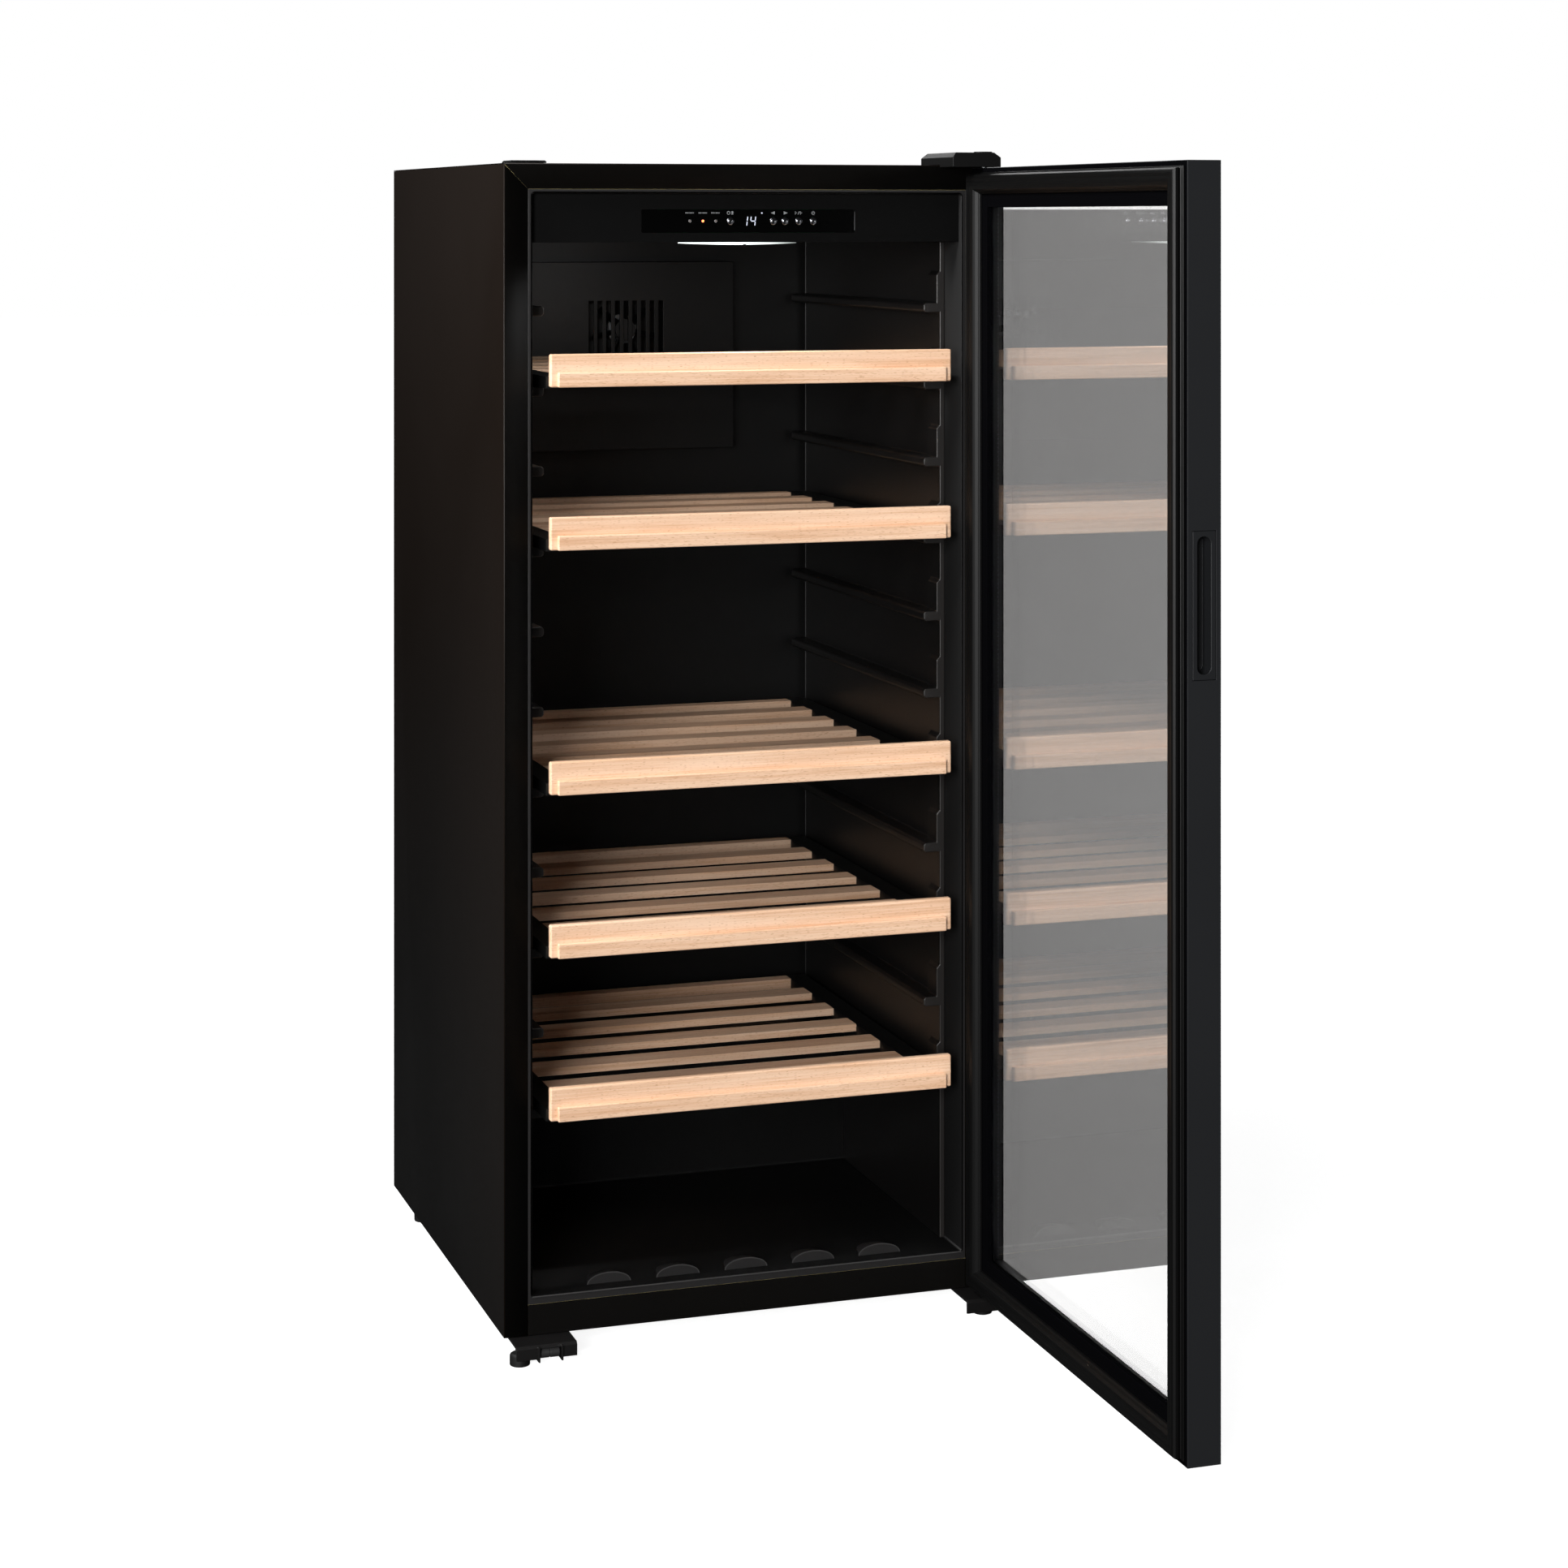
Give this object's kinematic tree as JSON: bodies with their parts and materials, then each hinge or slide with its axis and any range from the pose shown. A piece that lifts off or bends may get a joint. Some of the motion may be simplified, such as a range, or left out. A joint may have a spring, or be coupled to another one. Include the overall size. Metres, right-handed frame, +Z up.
{
  "type": "wine cooler",
  "caption": "Tall free-standing wine cooler with an open glass door, wooden slide-out shelves, a control panel and a rear machine bay.",
  "frame": {"origin": "on the floor, under the middle of the cooler's outer box with the door open at a right angle", "axes": "+Z up, -Y out of the cooler's front, +X to the hinge side"},
  "size_m": [0.61, 1.229, 1.3865],
  "materials": {
    "case_paint": "satin",
    "flange_paint": "satin",
    "door_frame": "satin",
    "zinc_steel": "satin",
    "liner": "satin",
    "insulation": "matte",
    "fascia": "matte",
    "window": "gloss",
    "board": "satin",
    "clear_plastic": "gloss",
    "black_plastic": "satin",
    "button_chrome": "polished",
    "fin_aluminium": "satin",
    "compressor_paint": "satin",
    "copper": "satin",
    "bracket_paint": "satin",
    "beech": "satin",
    "door_glass": "gloss",
    "gasket": "matte",
    "foot_rubber": "matte"
  },
  "bodies": {
    "cabinet": {"side_panel_left": "case_paint", "side_panel_right": "case_paint", "top_panel": "case_paint", "bottom_front_rail": "flange_paint", "back_panel": "zinc_steel", "base_pan": "zinc_steel", "machine_bay_wall": "zinc_steel", "machine_bay_ceiling": "zinc_steel", "fan_motor": "zinc_steel", "hinge_plate_top": "zinc_steel", "liner": "liner", "shelf_rack_left": "liner", "shelf_rack_right": "liner", "insulation": "insulation", "control_fascia": "fascia", "display_window": "window", "control_board": "board", "indicator_light_guide": "clear_plastic", "lamp_lens": "clear_plastic", "fan_cover": "black_plastic", "drip_tray": "black_plastic", "mains_inlet": "black_plastic", "hinge_cover_top": "black_plastic", "hinge_hole_cap": "black_plastic", "evaporator": "fin_aluminium", "compressor": "compressor_paint", "condenser": "copper", "filter_drier": "copper", "hinge_bracket_bottom": "bracket_paint", "roller_bracket_left": "bracket_paint", "foot_rear_left": "foot_rubber", "foot_rear_right": "foot_rubber"},
    "door": {"door_stile_hinge": "door_frame", "door_stile_handle": "door_frame", "door_rail_top": "door_frame", "door_rail_bottom": "door_frame", "outer_glass": "door_glass", "inner_glass": "door_glass", "glass_spacer": "fin_aluminium", "door_gasket": "gasket", "handle_insert": "black_plastic"},
    "shelf_1": {"shelf_1_board": "beech", "shelf_1_deck": "beech"},
    "shelf_2": {"shelf_2_board": "beech", "shelf_2_deck": "beech"},
    "shelf_3": {"shelf_3_board": "beech", "shelf_3_deck": "beech"},
    "shelf_4": {"shelf_4_board": "beech", "shelf_4_deck": "beech"},
    "shelf_5": {"shelf_5_board": "beech", "shelf_5_deck": "beech"},
    "light_button": {"button_light": "button_chrome"},
    "up_button": {"button_up": "button_chrome"},
    "down_button": {"button_down": "button_chrome"},
    "units_button": {"button_units": "button_chrome"},
    "power_button": {"button_power": "button_chrome"},
    "fan": {"fan_rotor": "black_plastic"},
    "roller": {"roller_left": "black_plastic"},
    "left_foot": {"foot_front_left": "foot_rubber"},
    "right_foot": {"foot_front_right": "foot_rubber"}
  },
  "joints": [
    {"name": "door_hinge", "type": "hinge", "parent": "cabinet", "child": "door", "pos_m": [0.276, -0.0335, 0.697], "axis": [0, 0, 1], "range_deg": [-90, 15]},
    {"name": "shelf_1_slide", "type": "slide", "parent": "cabinet", "child": "shelf_1", "axis": [0, -1, 0], "range_m": [0, 0.28]},
    {"name": "shelf_2_slide", "type": "slide", "parent": "cabinet", "child": "shelf_2", "axis": [0, -1, 0], "range_m": [0, 0.28]},
    {"name": "shelf_3_slide", "type": "slide", "parent": "cabinet", "child": "shelf_3", "axis": [0, -1, 0], "range_m": [0, 0.28]},
    {"name": "shelf_4_slide", "type": "slide", "parent": "cabinet", "child": "shelf_4", "axis": [0, -1, 0], "range_m": [0, 0.28]},
    {"name": "shelf_5_slide", "type": "slide", "parent": "cabinet", "child": "shelf_5", "axis": [0, -1, 0], "range_m": [0, 0.28]},
    {"name": "light_press", "type": "slide", "parent": "cabinet", "child": "light_button", "axis": [0, 1, 0], "range_m": [0, 0.0008], "stiffness_N_per_m": 700},
    {"name": "up_press", "type": "slide", "parent": "cabinet", "child": "up_button", "axis": [0, 1, 0], "range_m": [0, 0.0008], "stiffness_N_per_m": 700},
    {"name": "down_press", "type": "slide", "parent": "cabinet", "child": "down_button", "axis": [0, 1, 0], "range_m": [0, 0.0008], "stiffness_N_per_m": 700},
    {"name": "units_press", "type": "slide", "parent": "cabinet", "child": "units_button", "axis": [0, 1, 0], "range_m": [0, 0.0008], "stiffness_N_per_m": 700},
    {"name": "power_press", "type": "slide", "parent": "cabinet", "child": "power_button", "axis": [0, 1, 0], "range_m": [0, 0.0008], "stiffness_N_per_m": 700},
    {"name": "fan_spin", "type": "hinge", "parent": "cabinet", "child": "fan", "pos_m": [-0.0075, 0.5455, 1.159], "axis": [0, 1, 0], "continuous": true},
    {"name": "roller_spin", "type": "hinge", "parent": "cabinet", "child": "roller", "pos_m": [-0.259, -0.0385, 0.0145], "axis": [1, 0, 0], "continuous": true},
    {"name": "left_foot_turn", "type": "hinge", "parent": "cabinet", "child": "left_foot", "pos_m": [-0.291, -0.0285, 0.01], "axis": [0, 0, 1], "continuous": true},
    {"name": "right_foot_turn", "type": "hinge", "parent": "cabinet", "child": "right_foot", "pos_m": [0.276, -0.0285, 0.01], "axis": [0, 0, 1], "continuous": true}
  ]
}
